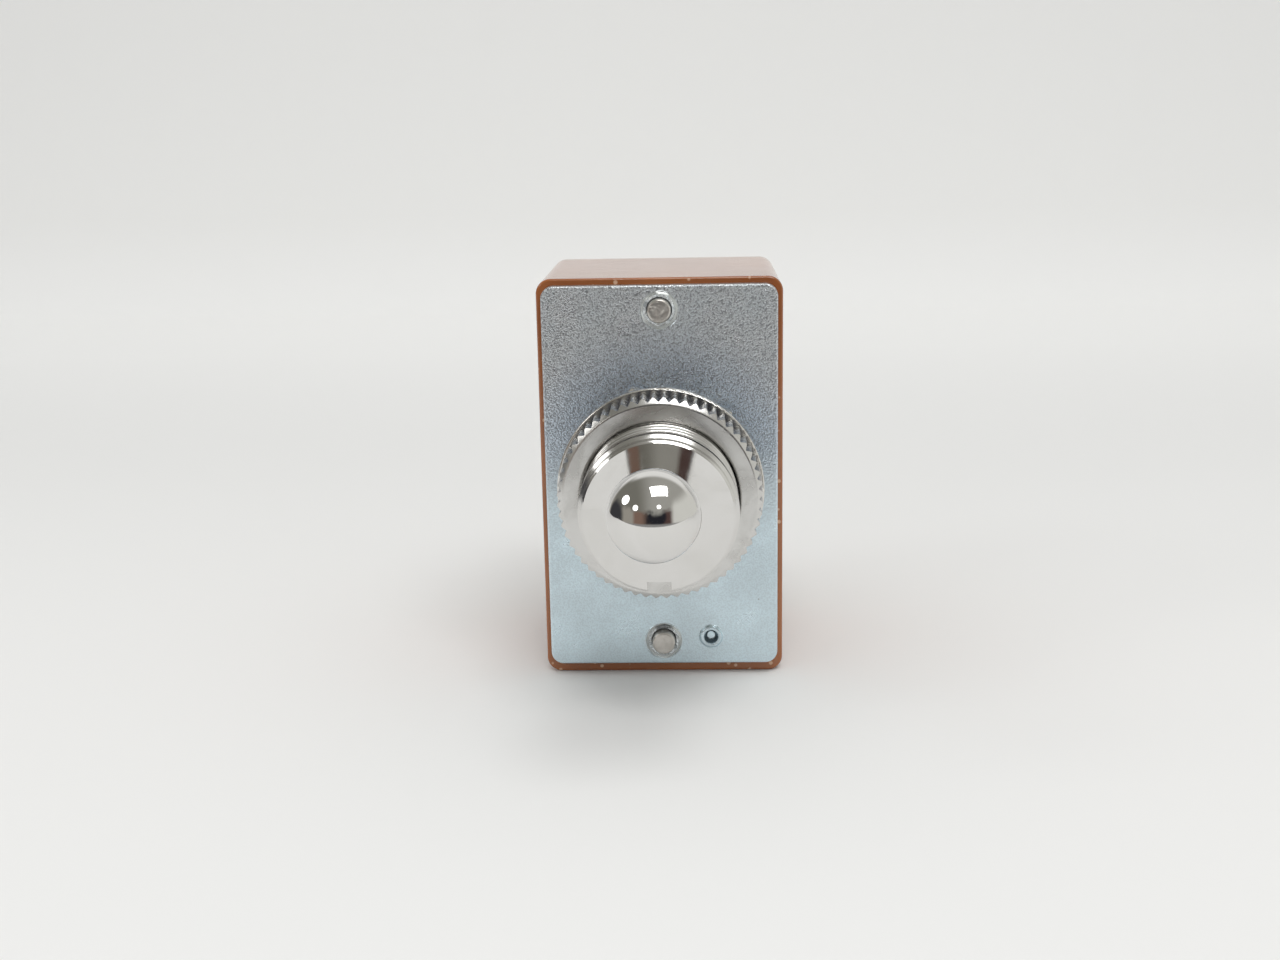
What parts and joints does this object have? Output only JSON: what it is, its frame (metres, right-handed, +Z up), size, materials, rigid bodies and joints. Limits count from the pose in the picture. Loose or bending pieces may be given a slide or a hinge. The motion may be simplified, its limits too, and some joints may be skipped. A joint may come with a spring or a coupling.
{
  "type": "panel mount toggle switch",
  "caption": "Toggle switch for a panel: a chromed bat lever in a threaded, keyed bushing with a knurled nut, on a zinc-plated cover over a brown moulded case.",
  "frame": {"origin": "on the bushing's axis, where it leaves the cover plate's front face", "axes": "-Y out of the panel along the bushing, +Z up along the case's long side, +X to the right seen from the lever's side"},
  "size_m": [0.0196, 0.053, 0.0328],
  "materials": {
    "case_resin": "satin",
    "zinc_plate": "satin",
    "pin_steel": "satin",
    "bushing_chrome": "polished",
    "lever_chrome": "polished",
    "nut_chrome": "polished",
    "hex_nut_nickel": "gloss",
    "washer_nickel": "gloss",
    "washer_steel": "satin",
    "screw_nickel": "gloss",
    "driver_nylon": "satin",
    "plunger_brass": "satin",
    "spring_steel": "satin",
    "rocker_copper": "satin",
    "terminal_brass": "satin",
    "contact_silver": "satin"
  },
  "bodies": {
    "switch_body": {"case": "case_resin", "cover_plate": "zinc_plate", "upper_pin": "pin_steel", "lower_pin": "pin_steel", "bushing": "bushing_chrome", "hex_nut": "hex_nut_nickel", "tooth_washer": "washer_steel", "terminal_screws": "screw_nickel", "left_common_terminal": "terminal_brass", "left_lower_terminal": "terminal_brass", "left_lower_contact": "contact_silver", "left_upper_terminal": "terminal_brass", "left_upper_contact": "contact_silver", "right_common_terminal": "terminal_brass", "right_lower_terminal": "terminal_brass", "right_lower_contact": "contact_silver", "right_upper_terminal": "terminal_brass", "right_upper_contact": "contact_silver"},
    "lever": {"lever": "lever_chrome", "lever_axle": "pin_steel", "driver": "driver_nylon", "left_spring": "spring_steel", "right_spring": "spring_steel"},
    "left_plunger": {"left_plunger": "plunger_brass"},
    "left_rocker": {"left_rocker": "rocker_copper", "left_moving_contacts": "contact_silver"},
    "right_plunger": {"right_plunger": "plunger_brass"},
    "right_rocker": {"right_rocker": "rocker_copper", "right_moving_contacts": "contact_silver"},
    "key_washer": {"key_washer": "washer_nickel"},
    "knurled_nut": {"knurled_nut": "nut_chrome"}
  },
  "joints": [
    {"name": "lever_throw", "type": "hinge", "parent": "switch_body", "child": "lever", "pos_m": [0, -0.007, 0], "axis": [1, 0, 0], "range_deg": [0, 22]},
    {"name": "left_plunger_slide", "type": "slide", "parent": "lever", "child": "left_plunger", "axis": [0, -0.9816, 0.1908], "range_m": [0, 0.0006], "stiffness_N_per_m": 300, "springref_m": -0.002, "deforming": ["left_spring"]},
    {"name": "left_rocker_tilt", "type": "hinge", "parent": "switch_body", "child": "left_rocker", "pos_m": [-0.0043, 0.01097, 0], "axis": [1, 0, 0], "range_deg": [-14, 0]},
    {"name": "right_plunger_slide", "type": "slide", "parent": "lever", "child": "right_plunger", "axis": [0, -0.9816, 0.1908], "range_m": [0, 0.0006], "stiffness_N_per_m": 300, "springref_m": -0.002, "deforming": ["right_spring"]},
    {"name": "right_rocker_tilt", "type": "hinge", "parent": "switch_body", "child": "right_rocker", "pos_m": [0.0043, 0.01097, 0], "axis": [1, 0, 0], "range_deg": [-14, 0]},
    {"name": "nut_turn", "type": "hinge", "parent": "key_washer", "child": "knurled_nut", "pos_m": [0, 0, 0], "axis": [0, -1, 0], "range_deg": [0, 1800]},
    {"name": "nut_travel", "type": "slide", "parent": "switch_body", "child": "key_washer", "axis": [0, -1, 0], "range_m": [0, 0.005]}
  ],
  "couplings": [
    {"joint": "left_rocker_tilt", "follows": "lever_throw", "ratio": -0.63636},
    {"joint": "right_rocker_tilt", "follows": "lever_throw", "ratio": -0.63636},
    {"joint": "nut_turn", "follows": "nut_travel", "rad_per_m": 6283.2}
  ]
}
